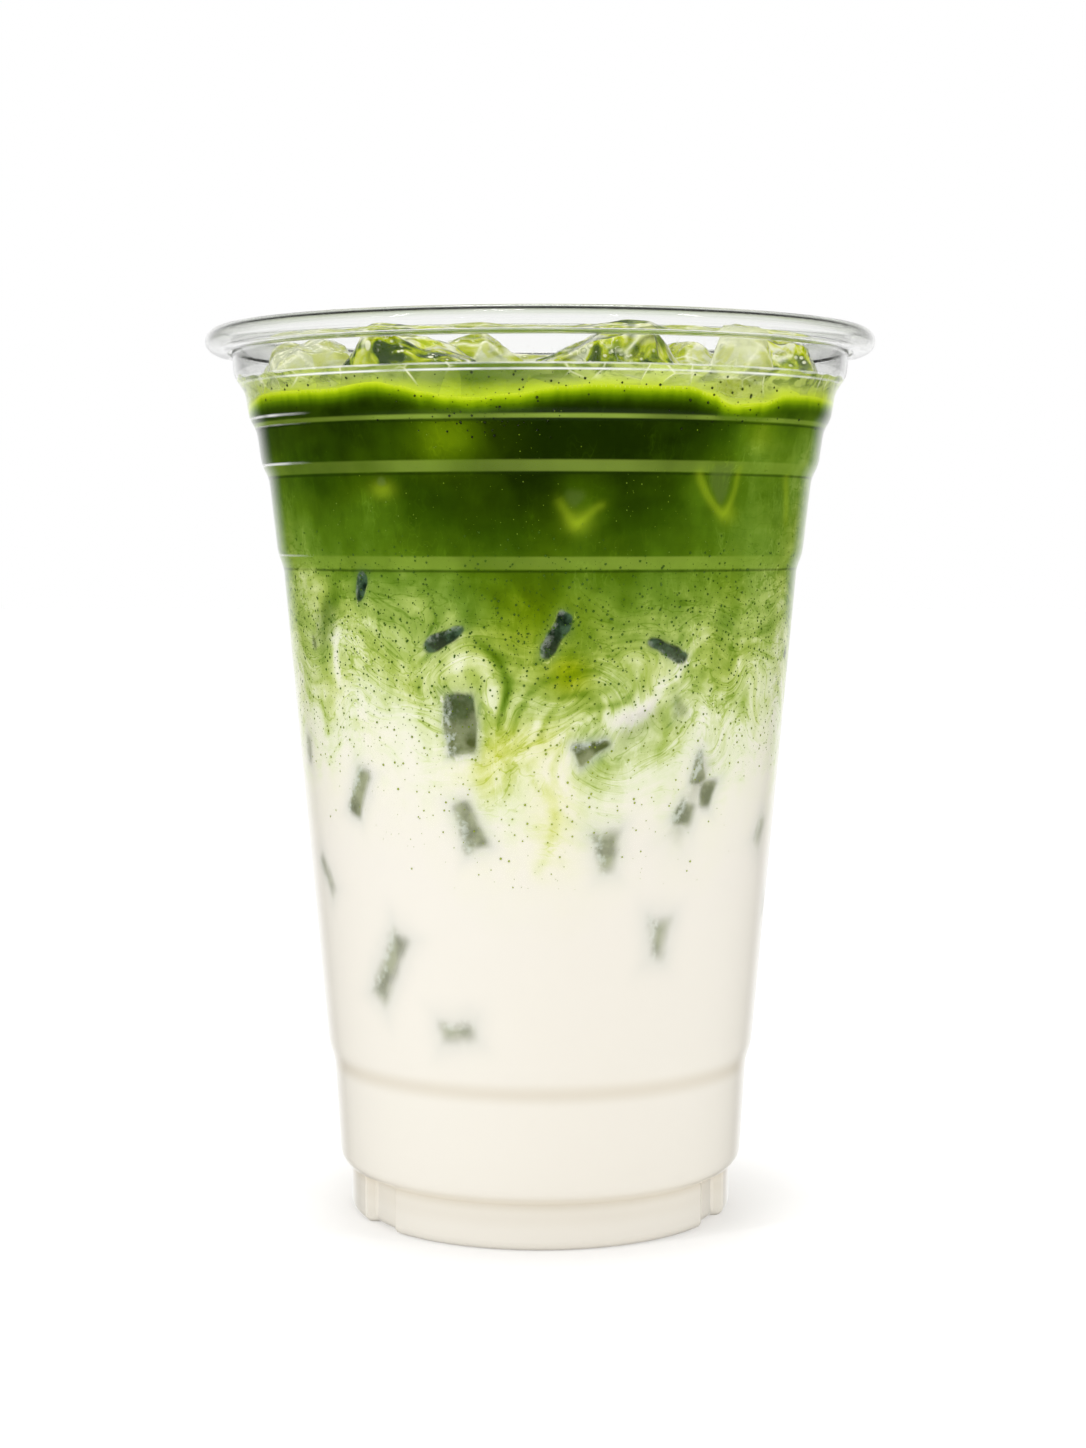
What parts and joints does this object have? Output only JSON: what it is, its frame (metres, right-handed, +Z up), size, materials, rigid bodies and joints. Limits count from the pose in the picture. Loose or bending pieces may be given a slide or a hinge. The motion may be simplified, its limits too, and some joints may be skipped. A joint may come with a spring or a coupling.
{
  "type": "iced matcha latte",
  "caption": "Iced matcha latte in a clear tapered plastic cup with a rolled lip: milk below, a marbled band, deep green matcha above, and half-sunk ice at the top.",
  "frame": {"origin": "on the table under the centre of the cup", "axes": "+Z up along the cup's axis, -Y towards the viewer, +X to the viewer's right"},
  "size_m": [0.098, 0.0979, 0.1302],
  "materials": {
    "clear_plastic": "clear, glossy, thin-walled",
    "milk": "smooth cream liquid",
    "blend": "marbled pale green liquid",
    "matcha": "deep green liquid, frothy at the top",
    "ice": "clear, wet, melted smooth"
  },
  "bodies": {
    "root": {"cup": "clear_plastic", "milk": "milk", "blend": "blend", "matcha": "matcha", "ice_01": "ice", "ice_02": "ice", "ice_03": "ice", "ice_04": "ice", "ice_05": "ice", "ice_06": "ice", "ice_07": "ice", "ice_08": "ice", "ice_09": "ice", "ice_10": "ice"}
  },
  "joints": []
}
